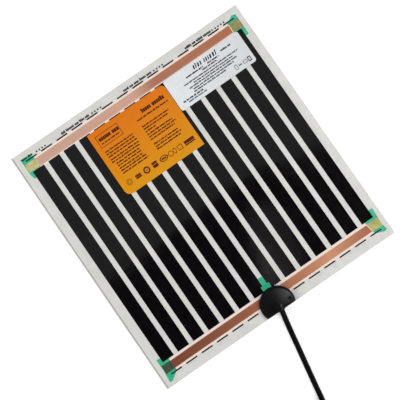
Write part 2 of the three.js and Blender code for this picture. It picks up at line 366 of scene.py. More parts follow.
def relief(tree, shader, coordinates, feature, height, stretch=(1, 1, 1), detail=2):
    """Fine bumps about one feature across and one height deep. Returns the noise for other uses."""
    mapping = add_node(tree, "ShaderNodeMapping", {"Vector": coordinates, "Scale": stretch})
    noise = add_node(
        tree,
        "ShaderNodeTexNoise",
        {"Vector": mapping.outputs[0], "Scale": 1 / feature, "Detail": detail},
    )
    bump = add_node(tree, "ShaderNodeBump", {"Height": noise.outputs["Fac"], "Distance": height})
    tree.links.new(bump.outputs["Normal"], shader.inputs["Normal"])
    return noise.outputs["Fac"]


def spread_roughness(tree, shader, amount, low, high):
    """Roughness between two values, as a noise says."""
    spread = add_node(
        tree,
        "ShaderNodeMapRange",
        {"Value": amount, "From Min": 0.3, "From Max": 0.7, "To Min": low, "To Max": high},
    )
    tree.links.new(spread.outputs["Result"], shader.inputs["Roughness"])


def scaled(colour, share):
    """A colour made lighter or darker by a share."""
    return (*[min(1.0, c * share) for c in colour[:3]], 1.0)


def band_mask(tree, value, middle, half_width, fade):
    """1 where a value lies within half a width of the middle, fading to 0 outside."""
    away = add_node(tree, "ShaderNodeMath", {0: value, 1: middle}, operation="SUBTRACT")
    size = add_node(tree, "ShaderNodeMath", {0: away.outputs[0]}, operation="ABSOLUTE")
    return add_node(
        tree,
        "ShaderNodeMapRange",
        {
            "Value": size.outputs[0],
            "From Min": half_width - fade / 2,
            "From Max": half_width + fade / 2,
            "To Min": 1.0,
            "To Max": 0.0,
        },
        interpolation_type="SMOOTHSTEP",
    ).outputs["Result"]


def film_material(colours):
    """Laminated white polyester film: milky and glossy with faint ripples.

    It is cream beside the foil, and a thin grey line is painted just inside its left edge.
    """
    material, tree, shader, place = new_material("Laminated polyester film", IOR=1.57)
    white = drift(tree, place, 16 * MM, scaled(colours.film, 0.95), scaled(colours.film, 1.04))
    axes = add_node(tree, "ShaderNodeSeparateXYZ", {"Vector": place})
    across = add_node(tree, "ShaderNodeMath", {0: axes.outputs["Y"]}, operation="ABSOLUTE")
    bar_middle = (BAR_BOXES[0][0].y + BAR_BOXES[0][1].y) / 2
    beside_foil = band_mask(tree, across.outputs[0], bar_middle, 6.2 * MM, 1.4 * MM)
    foil_middle, foil_half = BAR_BOXES[0][0].x + 130 * MM, 131 * MM
    along_foil = band_mask(tree, axes.outputs["X"], foil_middle, foil_half, 1.5 * MM)
    both = add_node(tree, "ShaderNodeMath", {0: beside_foil, 1: along_foil}, operation="MULTIPLY")
    tinted = add_node(
        tree,
        "ShaderNodeMix",
        {"Factor": both.outputs[0], "A": white, "B": from_hex("#ead6cb")},
        data_type="RGBA",
    )
    # A thin grey line painted 1.5 mm inside the left edge, where the film curls up
    left_edge_line = band_mask(tree, axes.outputs["X"], FILM_LOW.x + 1.5 * MM, 0.32 * MM, 0.3 * MM)
    with_left_line = add_node(
        tree,
        "ShaderNodeMix",
        {"Factor": left_edge_line, "A": tinted.outputs["Result"], "B": from_hex("#77716f")},
        data_type="RGBA",
    )
    tree.links.new(with_left_line.outputs["Result"], shader.inputs["Base Color"])
    ripple = relief(tree, shader, place, 9 * MM, 0.02 * MM)
    spread_roughness(tree, shader, ripple, 0.24, 0.34)
    return material


def carbon_material(colours):
    """Screen-printed carbon ink under clear polyester: near black, with the film's own even gloss."""
    material, tree, shader, place = new_material("Screen-printed carbon under film", IOR=1.57)
    ink = drift(tree, place, 5 * MM, scaled(colours.carbon, 0.8), scaled(colours.carbon, 1.3), detail=5)
    tree.links.new(ink, shader.inputs["Base Color"])
    ripple = relief(tree, shader, place, 9 * MM, 0.02 * MM)
    spread_roughness(tree, shader, ripple, 0.05, 0.09)
    return material


def copper_material(name):
    """Rolled copper foil under milky film.

    Its colour is brighter and darker along its length, a painted reflection, with fine rolled lines and a
    painted highlight along its edge.
    """
    material, tree, shader, place = new_material(
        f"Rolled foil under film, {name}", Metallic=0.7, Coat_Weight=0.6, Coat_Roughness=0.2, Coat_IOR=1.5
    )
    axes = add_node(tree, "ShaderNodeSeparateXYZ", {"Vector": place})
    # The foil's colour along X is a painted reflection of the lights
    painted_reflection = FOIL_PAINTED_REFLECTION[name]
    first, last = painted_reflection[0][0], painted_reflection[-1][0]
    share = add_node(
        tree,
        "ShaderNodeMapRange",
        {"Value": axes.outputs["X"], "From Min": first * MM, "From Max": last * MM},
    )
    ramp = add_node(tree, "ShaderNodeValToRGB", {"Fac": share.outputs["Result"]})
    while len(ramp.color_ramp.elements) < len(painted_reflection):
        ramp.color_ramp.elements.new(1.0)
    for element, (x, code) in zip(ramp.color_ramp.elements, painted_reflection):
        element.position = (x - first) / (last - first)
        element.color = from_hex(code)
    lines_of_rolling = drift(
        tree, place, 1.2 * MM, (0.93, 0.93, 0.93, 1), (1, 1, 1, 1), stretch=(0.02, 1, 1)
    )
    rolled = add_node(
        tree,
        "ShaderNodeMix",
        {"Factor": 1.0, "A": ramp.outputs["Color"], "B": lines_of_rolling},
        data_type="RGBA",
        blend_type="MULTIPLY",
    ).outputs["Result"]
    across = add_node(tree, "ShaderNodeMath", {0: axes.outputs["Y"]}, operation="ABSOLUTE")
    low, high = BAR_BOXES[0]
    # A pale cream band along the foil's edges is a painted highlight, where the film drapes over the foil
    painted_edge_highlight = 0.5 * MM
    half_foil = (high.y - low.y) / 2 - painted_edge_highlight
    inside = band_mask(tree, across.outputs[0], (low.y + high.y) / 2, half_foil, 0.4 * MM)
    with_edge_highlight = add_node(
        tree,
        "ShaderNodeMix",
        {"Factor": inside, "A": from_hex("#ecd3c4"), "B": rolled},
        data_type="RGBA",
    )
    tree.links.new(with_edge_highlight.outputs["Result"], shader.inputs["Base Color"])
    lines = relief(tree, shader, place, 0.9 * MM, 0.01 * MM, stretch=(0.03, 1, 1))
    spread_roughness(tree, shader, lines, 0.5, 0.6)
    return material


def tape_materials(name, colours):
    """Green polyester tape, which lets its ground through.

    There are four, in this order: over film, over copper, over carbon, and a pale painted highlight along its
    edge over the foil.
    """
    # Over copper the tape's colour carries the foil's painted reflection, and its edge colour is a painted
    # highlight
    grounds = [
        ("film", colours.tape, 0.2, 0.03 * MM),
        ("copper", from_hex(TAPE_OVER_FOIL_WITH_REFLECTION[name]), 0.2, 0.03 * MM),
        ("carbon", from_hex("#080d0a"), 0.09, 0.01 * MM),
        ("nothing", from_hex("#ecd2b0"), 0.2, 0.03 * MM),
    ]
    made = []
    for ground, colour, rough, crease_height in grounds:
        material, tree, shader, place = new_material(f"Green polyester tape over {ground}, {name}", IOR=1.5)
        tint = drift(tree, place, 3 * MM, scaled(colour, 0.82), scaled(colour, 1.16))
        tree.links.new(tint, shader.inputs["Base Color"])
        creases = relief(tree, shader, place, 2.5 * MM, crease_height)
        spread_roughness(tree, shader, creases, 0.5 * rough, rough)
        made.append(material)
    return made


def label_material(name, axis, start, end, first, second):
    """Coated label stock: an even satin sheen and a colour that runs from one side to the other."""
    material, tree, shader, place = new_material(name, IOR=1.48, Specular_IOR_Level=0.3)
    axes = add_node(tree, "ShaderNodeSeparateXYZ", {"Vector": place})
    share = add_node(
        tree,
        "ShaderNodeMapRange",
        {"Value": axes.outputs[axis], "From Min": start, "From Max": end},
    )
    run = add_node(
        tree,
        "ShaderNodeMix",
        {"Factor": share.outputs["Result"], "A": first, "B": second},
        data_type="RGBA",
    )
    stock = drift(tree, place, 7 * MM, (0.96, 0.96, 0.96, 1), (1, 1, 1, 1))
    printed = add_node(
        tree,
        "ShaderNodeMix",
        {"Factor": 1.0, "A": run.outputs["Result"], "B": stock},
        data_type="RGBA",
        blend_type="MULTIPLY",
    )
    tree.links.new(printed.outputs["Result"], shader.inputs["Base Color"])
    fibres = relief(tree, shader, place, 0.8 * MM, 0.004 * MM)
    spread_roughness(tree, shader, fibres, 0.38, 0.5)
    return material


def ink_material(name, code):
    """Dried printing ink: a flat dark colour that thins a little from place to place."""
    material, tree, shader, place = new_material(name, Roughness=0.6, Specular_IOR_Level=0.2)
    ink = drift(tree, place, 2 * MM, from_hex(code), scaled(from_hex(code), 1.6))
    tree.links.new(ink, shader.inputs["Base Color"])
    return material


def housing_material(colours):
    """Black polyamide moulded in a spark-eroded tool: a fine even grain that softens its highlights.

    The real grain is near 0.1 mm and is drawn at 0.45 mm, the finest that shows.
    """
    material, tree, shader, place = new_material("Moulded black polyamide", Specular_IOR_Level=0.3)
    black = drift(tree, place, 4 * MM, scaled(colours.housing, 0.85), scaled(colours.housing, 1.2))
    tree.links.new(black, shader.inputs["Base Color"])
    grain = relief(tree, shader, place, 0.45 * MM, 0.012 * MM, detail=1)
    spread_roughness(tree, shader, grain, 0.27, 0.36)
    return material


def sheath_material(name, colour, rough=0.3):
    """Extruded soft PVC: smooth and satin, with the faint haze that handling leaves."""
    material, tree, shader, place = new_material(name, Specular_IOR_Level=0.13)
    tint = drift(tree, place, 11 * MM, scaled(colour, 0.85), scaled(colour, 1.25))
    tree.links.new(tint, shader.inputs["Base Color"])
    haze = relief(tree, shader, place, 3 * MM, 0.015 * MM)
    spread_roughness(tree, shader, haze, rough - 0.05, rough + 0.07)
    return material


def wire_material():
    """Bare bunched copper: bright strands with a slight brown tarnish."""
    material, tree, shader, place = new_material("Bunched bare copper wire", Metallic=1.0)
    tarnish = drift(tree, place, 1.5 * MM, from_hex("#c9805a"), from_hex("#eab08c"))
    tree.links.new(tarnish, shader.inputs["Base Color"])
    drawn = relief(tree, shader, place, 0.4 * MM, 0.01 * MM)
    spread_roughness(tree, shader, drawn, 0.22, 0.36)
    return material


# Film, strips and foil


class OBJECT_OT_heating_mat_laminate(bpy.types.Operator):
    """Lays the film with its printed strips and copper bars"""

    bl_idname = "object.heating_mat_laminate"
    bl_label = "Lay Laminate"

    def execute(self, context):
        sizes, colours = settings_of(context)
        layers = [(["film_sheet"], "film", film_material(colours))]
        layers.append((STRIPS, "carbon", carbon_material(colours)))
        layers += [([name], "copper", copper_material(name)) for name in BARS]
        for names, slot, material in layers:
            for name in names:
                bm = sheet_from_node(name)
                lay_on_film(bm, sizes)
                fit_to_mat(object_from(bm, f"{name}_laid"), [material], [name])
        return {"FINISHED"}


# Tape


OVER_FILM, OVER_COPPER, OVER_CARBON, PAINTED_EDGE_HIGHLIGHT = range(4)


def inside_box(box, x, y):
    low, high = box
    return low.x < x < high.x and low.y < y < high.y


def ground_under(x, y):
    if any(inside_box(box, x, y) for box in BAR_BOXES):
        return OVER_COPPER
    if any(inside_box(box, x, y) for box in STRIP_BOXES):
        return OVER_CARBON
    return OVER_FILM


def cut_at_grounds(bm):
    """Cuts a tape along the edges of the bars and strips under it."""
    lines = [(1, y) for box in BAR_BOXES for y in (box[0].y, box[1].y)]
    lines += [(0, x) for box in STRIP_BOXES for x in (box[0].x, box[1].x)]
    lines += [(1, y) for y in (STRIP_BOXES[0][0].y, STRIP_BOXES[0][1].y)]
    for axis, place in lines:
        normal = Vector((1 - axis, axis, 0))
        geometry = bm.verts[:] + bm.edges[:] + bm.faces[:]
        bmesh.ops.bisect_plane(bm, geom=geometry, dist=1e-7, plane_co=normal * place, plane_no=normal)


def add_rim(bm, width):
    """Cuts a rim of some width inside a flat sheet's top face, and marks it on a face layer."""
    rim = bm.faces.layers.int.new("rim")
    top = max(bm.faces, key=lambda face: (face.normal.z, face.calc_center_median().z))
    made = bmesh.ops.inset_region(bm, faces=[top], thickness=width, use_even_offset=True)
    for face in made["faces"]:
        face[rim] = 1
    return rim


class OBJECT_OT_heating_mat_tapes(bpy.types.Operator):
    """Sticks the green tape over the bars' ends and behind the housing"""

    bl_idname = "object.heating_mat_tapes"
    bl_label = "Stick Tapes"

    def execute(self, context):
        sizes, colours = settings_of(context)
        edge_width = 0.7 * MM
        inner_reach = BAR_BOXES[0][1].x - 8 * MM
        for name in [*CORNER_TAPES, "terminal_tape"]:
            bm = sheet_from_node(name)
            rim = add_rim(bm, edge_width)
            cut_at_grounds(bm)
            lay_on_film(bm, sizes)
            for face in bm.faces:
                middle = face.calc_center_median()
                face.material_index = ground_under(middle.x, middle.y)
                if name == "terminal_tape" and face.material_index == OVER_CARBON:
                    face.material_index = OVER_FILM  # the joint under it is bare of carbon
                # Along the right-hand tapes' inner edge over the foil, a pale painted highlight
                at_edge = face[rim] and face.material_index == OVER_COPPER and abs(middle.x) < inner_reach
                if at_edge and name.endswith("right"):
                    face.material_index = PAINTED_EDGE_HIGHLIGHT
            fit_to_mat(object_from(bm, f"{name}_laid"), tape_materials(name, colours), [name])
        return {"FINISHED"}


# Labels and print


def add_stroke(bm, x, y, width, height, base, turn=0.0):
    """One printed bar, centred at (x, y) and lying on the height base."""
    place = Matrix.Translation((x, y, base + INK / 2)) @ Matrix.Rotation(turn, 4, "Z")
    bmesh.ops.create_cube(bm, size=1, matrix=place @ Matrix.Diagonal((width, height, INK, 1)))


def add_print_line(bm, draw, left, right, baseline, height, weight, base, slant=0.0):
    """A line of word-long rows of plain blocks. It reads as print from afar, and holds no letters."""
    x = left
    while x < right:
        for _ in range(draw.randint(3, 7)):
            pitch = height * draw.uniform(0.5, 0.85)
            if x + pitch > right:
                break
            tall = height * (1.3 if draw.random() < 0.2 else 1.0)
            add_stroke(bm, x + pitch / 2, baseline + tall / 2, weight * pitch, tall, base, slant)
            x += pitch
        x += 0.5 * height


def add_ring(bm, x, y, half_width, half_height, line, base, steps=28):
    """A printed ring or oval, as a small square section spun round."""
    old = set(bm.verts)
    section = Matrix.Translation((1, 0, 0)) @ Matrix.Rotation(math.pi / 2, 4, "X")
    made = bmesh.ops.create_grid(bm, x_segments=1, y_segments=1, size=0.5, matrix=section)
    face = made["verts"][0].link_faces[0]
    edges = face.edges[:]
    bmesh.ops.delete(bm, geom=[face], context="FACES_ONLY")
    share = line / half_width
    bmesh.ops.scale(bm, vec=(share, 1, 1), space=Matrix.Translation((-1, 0, 0)), verts=made["verts"])
    bmesh.ops.spin(
        bm,
        geom=made["verts"] + edges,
        cent=(0, 0, 0),
        axis=UP,
        angle=2 * math.pi,
        steps=steps,
        use_merge=True,
    )
    new = [v for v in bm.verts if v not in old]
    size = Matrix.Diagonal((half_width, half_height, INK, 1))
    bmesh.ops.transform(bm, verts=new, matrix=Matrix.Translation((x, y, base + INK / 2)) @ size)
    bmesh.ops.recalc_face_normals(bm, faces=list({f for v in new for f in v.link_faces}))


def add_frame(bm, x, y, width, height, line, base):
    """A printed open box."""
    for side in (-1, 1):
        add_stroke(bm, x, y + side * (height - line) / 2, width, line, base)
        add_stroke(bm, x + side * (width - line) / 2, y, line, height - 2 * line, base)


# Print lines on the labels: left, right, down from the top, letter height and weight, in millimetres
INFO_HEADLINES = [(7.5, 31.5, 12.6, 3.5, 0.9), (59.0, 89.0, 12.6, 3.5, 0.9)]
INFO_SMALL_LINES = [(8.0, 30.0, 16.2, 1.4, 0.9), (50.0, 88.0, 17.2, 1.4, 0.9)]
# The box round the left headline: its middle from the left and down from the top, width, height and line
INFO_BADGE = (18.8, 12.3, 26.5, 13.4, 0.55)
INFO_COLUMNS = [
    (6.0, 43.0, (25.0, 28.0, 31.0, 34.5, 37.4)),
    (9.0, 41.0, (40.6, 43.4, 46.6, 49.5, 52.4)),
    (51.0, 84.0, (25.0, 28.0, 34.5, 37.4, 40.4)),
    (51.0, 67.0, (31.0,)),
    (51.0, 83.0, (46.0, 49.0, 52.0)),
]
INFO_COLUMN_HEIGHT = 1.35
# Marks in the row at the label's foot: rings as across, half width, half height and line,
# and blocks as across, up, width and height
INFO_RINGS = [
    (9.5, 2.8, 2.8, 0.5),
    (9.5, 1.5, 1.5, 0.4),
    (30.5, 2.9, 2.9, 1.5),
    (51.3, 4.2, 2.7, 1.2),
    (59.6, 2.4, 2.6, 0.6),
    (64.6, 1.5, 2.6, 0.5),
]
INFO_BLOCKS = [
    (20.3, 0.9, 6.4, 2.0),
    (20.3, -1.3, 6.4, 1.8),
    (30.5, 0.0, 2.0, 1.0),
    (40.5, 1.8, 6.0, 2.4),
    (40.5, -1.5, 6.0, 3.2),
    (51.3, 0.0, 5.2, 1.6),
    (82.3, 0.9, 11.5, 3.2),
    (82.3, -1.9, 11.5, 1.4),
]
RATING_HEADLINE = (33.0, 66.0, 7.6, 4.2, 0.5)
RATING_LINES = [
    (22.0, 43.0, 10.8, 1.5, 0.9),
    (48.0, 62.0, 10.6, 1.4, 0.9),
    (66.0, 78.0, 8.0, 1.6, 0.9),
    (40.0, 58.0, 13.3, 1.3, 0.9),
    (16.0, 81.0, 16.2, 1.25, 0.85),
    (26.0, 74.0, 18.9, 1.25, 0.85),
    (19.0, 77.0, 21.5, 1.35, 0.85),
    (22.0, 71.0, 24.2, 1.35, 0.85),
    (21.0, 60.0, 26.8, 1.35, 0.85),
    (6.0, 31.0, 29.8, 1.6, 0.9),
    (11.0, 33.0, 32.3, 1.25, 0.85),
]


def print_lines(bm, draw, lines, low, high, slant=0.0):
    """Prints each line of a table on the label that has these corners."""
    for start, end, down, height, weight in lines:
        left, right = low.x + start * MM, low.x + end * MM
        add_print_line(bm, draw, left, right, high.y - down * MM, height * MM, weight, high.z, slant)


def print_info_label(bm, draw, low, high):
    """Headlines, two columns of small print and a row of plain marks."""
    base, left, top = high.z, low.x, high.y
    print_lines(bm, draw, INFO_HEADLINES + INFO_SMALL_LINES, low, high)
    across, down, *sides = [size * MM for size in INFO_BADGE]
    add_frame(bm, left + across, top - down, *sides, base)
    for start, end, downs in INFO_COLUMNS:
        for down in downs:
            stop = end - draw.uniform(0, 4)
            height = INFO_COLUMN_HEIGHT * MM
            add_print_line(bm, draw, left + start * MM, left + stop * MM, top - down * MM, height, 0.92, base)
    row = top - 62.4 * MM
    for across, half_width, half_height, line in INFO_RINGS:
        add_ring(bm, left + across * MM, row, half_width * MM, half_height * MM, line * MM, base)
    for across, up, width, height in INFO_BLOCKS:
        add_stroke(bm, left + across * MM, row + up * MM, width * MM, height * MM, base)
    add_frame(bm, left + 71.0 * MM, row, 5.4 * MM, 5.4 * MM, 0.6 * MM, base)


def print_rating_label(bm, draw, low, high):
    """A slanted headline, centred small print and a few open boxes."""
    base, left, top = high.z, low.x, high.y
    print_lines(bm, draw, [RATING_HEADLINE], low, high, slant=math.radians(-14))
    print_lines(bm, draw, RATING_LINES, low, high)
    row = top - 30.1 * MM
    add_frame(bm, left + 69.6 * MM, row, 3.2 * MM, 5.2 * MM, 0.5 * MM, base)
    add_frame(bm, left + 80.2 * MM, row, 4.4 * MM, 3.4 * MM, 0.5 * MM, base)
    add_frame(bm, left + 85.4 * MM, row, 3.6 * MM, 5.2 * MM, 0.9 * MM, base)
    add_print_line(bm, draw, left + 72.6 * MM, left + 77.0 * MM, row - 0.6 * MM, 1.2 * MM, 0.8, base)


class OBJECT_OT_heating_mat_labels(bpy.types.Operator):
    """Lays the two labels and prints them with plain marks"""

    bl_idname = "object.heating_mat_labels"
    bl_label = "Lay Labels"

    def execute(self, context):
        sizes, colours = settings_of(context)
        low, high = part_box("info_label")
        orange = label_material(
            "Orange printed label film", "Y", high.y, low.y, colours.info_label, from_hex("#ce8a04")
        )
        low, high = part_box("rating_label")
        white = label_material(
            "White coated label", "X", low.x, high.x, colours.rating_label, scaled(colours.rating_label, 0.88)
        )
        for name, material in (("info_label", orange), ("rating_label", white)):
            bm = sheet_from_node(name)
            lay_on_film(bm, sizes)
            fit_to_mat(object_from(bm, f"{name}_laid"), [material], [name])

        brown = ink_material("Dark brown offset ink", "#451604")
        grey = ink_material("Black offset ink", "#0d0e12")
        prints = [("info_label", print_info_label, brown), ("rating_label", print_rating_label, grey)]
        for seed, (name, draw_print, ink) in enumerate(prints):
            bm = bmesh.new()
            draw_print(bm, random.Random(seed), *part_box(name))
            lay_on_film(bm, sizes)
            fit_to_mat(object_from(bm, f"{name}_print"), [ink])
        return {"FINISHED"}


# Small print along the top margin: left and right ends of each group, in millimetres
MARGIN_GROUPS = [(-129.0, -107.7), (-81.0, -31.5), (-5.0, 43.5), (70.0, 118.5)]


class OBJECT_OT_heating_mat_margin_print(bpy.types.Operator):
    """Prints the dashes beside the strips and the small marks along the top margin"""

    bl_idname = "object.heating_mat_margin_print"
    bl_label = "Print Margins"

    def execute(self, context):
        sizes, _ = settings_of(context)
        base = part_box("corner_tape_top_left")[1].z
        ink = ink_material("Black screen-printing ink", "#0a090a")
        bm = bmesh.new()
        top_row = BAR_BOXES[0][1].y + sizes.dash_gap
        bottom_row = BAR_BOXES[1][0].y - sizes.dash_gap
        for low, high in STRIP_BOXES:
            middle = (low.x + high.x) / 2
            add_stroke(bm, middle, top_row, sizes.dash_length, sizes.dash_width, base)
            if abs(middle - HOUSING_CENTRE.x) > HOUSING_RADIUS:
                add_stroke(bm, middle, bottom_row, sizes.dash_length, sizes.dash_width, base)
        draw = random.Random(7)
        baseline = top_row + 1.7 * MM
        for left, right in MARGIN_GROUPS:
            words = left + 0.7 * (right - left)
            add_print_line(bm, draw, left * MM, words * MM, baseline, 2.0 * MM, 0.82, base)
            for k in range(4):
                add_stroke(bm, (words + 3 + 3.4 * k) * MM, baseline + 0.8 * MM, 1.5 * MM, 1.5 * MM, base)
        lay_on_film(bm, sizes)
        fit_to_mat(object_from(bm, "margin_print"), [ink])
        return {"FINISHED"}


# Terminal housing


def applied(obj, name):
    """The same shape with its modifiers worked in, as a new object in the old one's place."""
    shape = obj.evaluated_get(bpy.context.evaluated_depsgraph_get())
    mesh = bpy.data.meshes.new_from_object(shape)
    mesh.name = name
    bpy.data.objects.remove(obj)
    made = bpy.data.objects.new(name, mesh)
    bpy.context.scene.collection.objects.link(made)
    return made


def housing_body(sizes):
    """The half-round body: a disc cut at its flat side, with rounded corners, a rolled rim and a crown."""
    bm = bmesh.new()
    seat = Matrix.Translation(HOUSING_CENTRE)
    bmesh.ops.create_circle(bm, cap_ends=True, radius=HOUSING_RADIUS, segments=96, matrix=seat)
    geometry = bm.verts[:] + bm.edges[:] + bm.faces[:]
    flat_side = Vector((0, HOUSING_LOW.y + 0.4 * MM, 0))
    bmesh.ops.bisect_plane(bm, geom=geometry, plane_co=flat_side, plane_no=(0, -1, 0), clear_outer=True)
    corners = [v for v in bm.verts if abs(v.co.y - flat_side.y) < 1e-6]
    bmesh.ops.bevel(
        bm, geom=corners, offset=3.1 * MM, segments=6, profile=0.5, affect="VERTICES", material=-1
    )
    raised = bmesh.ops.extrude_face_region(bm, geom=bm.faces[:])
    top = [v for v in raised["geom"] if isinstance(v, bmesh.types.BMVert)]
    bmesh.ops.translate(bm, vec=(0, 0, sizes.housing_height), verts=top)
    bmesh.ops.recalc_face_normals(bm, faces=bm.faces)
    top_z = HOUSING_CENTRE.z + sizes.housing_height
    rim = [e for e in bm.edges if all(abs(v.co.z - top_z) < 1e-6 for v in e.verts)]
    bmesh.ops.bevel(
        bm, geom=rim, offset=2.9 * MM, segments=8, profile=0.5, affect="EDGES", material=-1
    )
    for axis in (0, 1):
        normal = Vector((1 - axis, axis, 0))
        for k in range(-18, 19):
            geometry = bm.verts[:] + bm.edges[:] + bm.faces[:]
            place = HOUSING_CENTRE + normal * k * MM
            bmesh.ops.bisect_plane(bm, geom=geometry, dist=1e-6, plane_co=place, plane_no=normal)
    for v in bm.verts:
        away = (v.co.xy - HOUSING_CENTRE.xy).length / HOUSING_RADIUS
        level = (v.co.z - HOUSING_CENTRE.z) / sizes.housing_height
        v.co.z -= sizes.housing_crown * away**2 * level
    return object_from(bm, "housing_body")


def along_cord(bm, radius, start, length, segments=32):
    """A round bar along the cord's way out of the housing. It starts some way inside the mouth."""
    inner, mouth = (Vector(p) * MM for p in LEAD_ROUTE[:2])
    way = (mouth - inner).normalized()
    middle = mouth + way * (length / 2 - start)
    turn = way.to_track_quat("Z", "Y").to_matrix().to_4x4()
    bmesh.ops.create_cone(
        bm,
        cap_ends=True,
        segments=segments,
        radius1=radius,
        radius2=radius,
        depth=length,
        matrix=Matrix.Translation(middle) @ turn,
    )
    return mouth - way * start


def housing_collar(sizes):
    """The raised collar over the cord's end, round at its inner end and cut level with the mouth."""
    bm = bmesh.new()
    radius = sizes.cord_diameter / 2 + 1.1 * MM
    inner_end = along_cord(bm, radius, 5.4 * MM, 9 * MM)
    geometry = bm.verts[:] + bm.edges[:] + bm.faces[:]
    mouth = Vector((0, HOUSING_LOW.y, 0))
    cut = bmesh.ops.bisect_plane(bm, geom=geometry, plane_co=mouth, plane_no=(0, -1, 0), clear_outer=True)
    edges = [e for e in cut["geom_cut"] if isinstance(e, bmesh.types.BMEdge)]
    bmesh.ops.edgeloop_fill(bm, edges=edges)
    bmesh.ops.recalc_face_normals(bm, faces=bm.faces)
    collar = object_from(bm, "housing_collar")
    bm = bmesh.new()
    at_end = Matrix.Translation(inner_end)
    bmesh.ops.create_uvsphere(bm, u_segments=32, v_segments=16, radius=radius, matrix=at_end)
    return collar, object_from(bm, "housing_collar_end")


def box_object(name, middle, size):
    bm = bmesh.new()
    bmesh.ops.create_cube(bm, size=1, matrix=Matrix.Translation(middle) @ Matrix.Diagonal((*size, 1)))
    return object_from(bm, name)


def join_with(obj, other, operation):
    """Joins or cuts one solid with another."""
    step = obj.modifiers.new(operation.title(), "BOOLEAN")
    step.operation = operation
    step.solver = "EXACT"
    step.object = other


class OBJECT_OT_heating_mat_housing(bpy.types.Operator):
    """Moulds the terminal housing in one piece with its cord collar"""

    bl_idname = "object.heating_mat_housing"
    bl_label = "Mould Housing"

    def execute(self, context):
        sizes, colours = settings_of(context)
        body = housing_body(sizes)
        collar, collar_end = housing_collar(sizes)
        bm = bmesh.new()
        along_cord(bm, sizes.cord_diameter / 2 + 0.25 * MM, 4.5 * MM, 9 * MM)
        bore = object_from(bm, "housing_bore")
        mark = HOUSING_CENTRE + Vector((13.4 * MM, -2.2 * MM, sizes.housing_height - 0.8 * MM))
        recess = box_object("housing_mark", mark, (3.6 * MM, 3.6 * MM, 1.4 * MM))
        island = box_object("housing_mark_island", mark - UP * 0.9 * MM, (1.7 * MM, 1.7 * MM, 1.4 * MM))
        seat = Vector((HOUSING_CENTRE.x, HOUSING_CENTRE.y, HOUSING_CENTRE.z - 5 * MM))
        below = box_object("housing_seat", seat, (60 * MM, 60 * MM, 10 * MM))
        for other, operation in (
            (collar, "UNION"),
            (collar_end, "UNION"),
            (below, "DIFFERENCE"),
            (bore, "DIFFERENCE"),
            (recess, "DIFFERENCE"),
            (island, "UNION"),
        ):
            join_with(body, other, operation)
        grid = body.modifiers.new("Even mesh", "REMESH")
        grid.mode = "VOXEL"
        grid.voxel_size = 0.28 * MM
        soften = body.modifiers.new("Mould radii", "SMOOTH")
        soften.factor = 0.5
        soften.iterations = 5
        housing = applied(body, "terminal_housing_moulded")
        for helper in (collar, collar_end, bore, recess, island, below):
            bpy.data.objects.remove(helper)
        housing.data.polygons.foreach_set("use_smooth", [True] * len(housing.data.polygons))
        fit_to_mat(housing, [housing_material(colours)], ["terminal_housing"])
        return {"FINISHED"}


# Supply cord


def coil_centre():
    touch, heading = Vector(COIL_TOUCH), Vector(COIL_HEADING).normalized()
    outer = COIL_MEAN_RADIUS + 2.8
    return touch + Vector((heading.y, -heading.x)) * outer


def coil_point(turns, diameter):
    """The coil's middle line.

    The outer then the inner turn lie on the floor, and the inner then the outer on top.
    Then it goes out and down to the floor again.
    """
    centre = coil_centre()
    start = Vector(COIL_TOUCH) - centre
    hump = math.sin(math.pi * min(max((turns - 1.78) / 0.18, 0.0), 1.0)) ** 2
    radius = COIL_MEAN_RADIUS + diameter / 2
    radius -= diameter * smooth_step(0.80, 0.94, turns)
    radius += diameter * smooth_step(2.80, 2.94, turns)
    radius += 6.2 * smooth_step(3.80, 3.94, turns) - 2.2 * hump
    height = LEAD_ROUTE[-1][2]
    height += diameter * (smooth_step(1.80, 1.94, turns) - smooth_step(3.97, 4.12, turns))
    angle = math.atan2(start.y, start.x) - 2 * math.pi * turns
    off_tie = math.remainder(angle - TIE_ANGLE, 2 * math.pi) / math.radians(13)
    height += TIE_THICKNESS * math.exp(-(off_tie**2))
    return (centre.x + radius * math.cos(angle), centre.y + radius * math.sin(angle), height)


def tube_from(name, route, diameter, sides):
    """A round tube along a smooth curve through a route in millimetres."""
    curve = bpy.data.curves.new(name, "CURVE")
    curve.dimensions = "3D"
    curve.bevel_depth = diameter / 2
    curve.bevel_resolution = sides // 2 - 2
    curve.use_fill_caps = True
    curve.resolution_u = 4
    spline = curve.splines.new("NURBS")
    spline.points.add(len(route) - 1)
    for point, place in zip(spline.points, route):
        point.co = (*(Vector(place) * MM), 1)
    spline.order_u = 4
    spline.use_endpoint_u = True
    obj = bpy.data.objects.new(name, curve)
    bpy.context.scene.collection.objects.link(obj)
    return obj


def strand_bundle(name, route):
    """Bare strands twisted together: a six-lobed section pushed along and turned step by step."""
    before, end = (Vector(p) * MM for p in route[-2:])
    way = (end - before).normalized()
    strand, length, steps, twist = 0.27 * MM, 6.3 * MM, 24, math.radians(11)
    turn = way.to_track_quat("Z", "Y").to_matrix().to_4x4()
    bm = bmesh.new()
    made = bmesh.ops.create_circle(bm, cap_ends=True, radius=2.2 * strand, segments=24)
    for k, v in enumerate(made["verts"]):
        v.co *= 1 - 0.2 * (k % 4 == 0) - 0.07 * (k % 2 == 1)
    section = bm.faces[:]
    for _ in range(steps):
        raised = bmesh.ops.extrude_face_region(bm, geom=section)
        section = [f for f in raised["geom"] if isinstance(f, bmesh.types.BMFace)]
        ring = [v for v in raised["geom"] if isinstance(v, bmesh.types.BMVert)]
        bmesh.ops.translate(bm, vec=UP * length / steps, verts=ring)
        bmesh.ops.rotate(bm, cent=(0, 0, 0), matrix=Matrix.Rotation(twist, 3, "Z"), verts=ring)
    inner = [f for f in bm.faces if abs(f.normal.z) > 0.9 and 1e-6 < f.calc_center_median().z < length - 1e-6]
    bmesh.ops.delete(bm, geom=inner, context="FACES_ONLY")
    bmesh.ops.transform(bm, verts=bm.verts, matrix=Matrix.Translation(end - way * 0.3 * MM) @ turn)
    bmesh.ops.recalc_face_normals(bm, faces=bm.faces)
    return object_from(bm, name, sharp_angle=60)


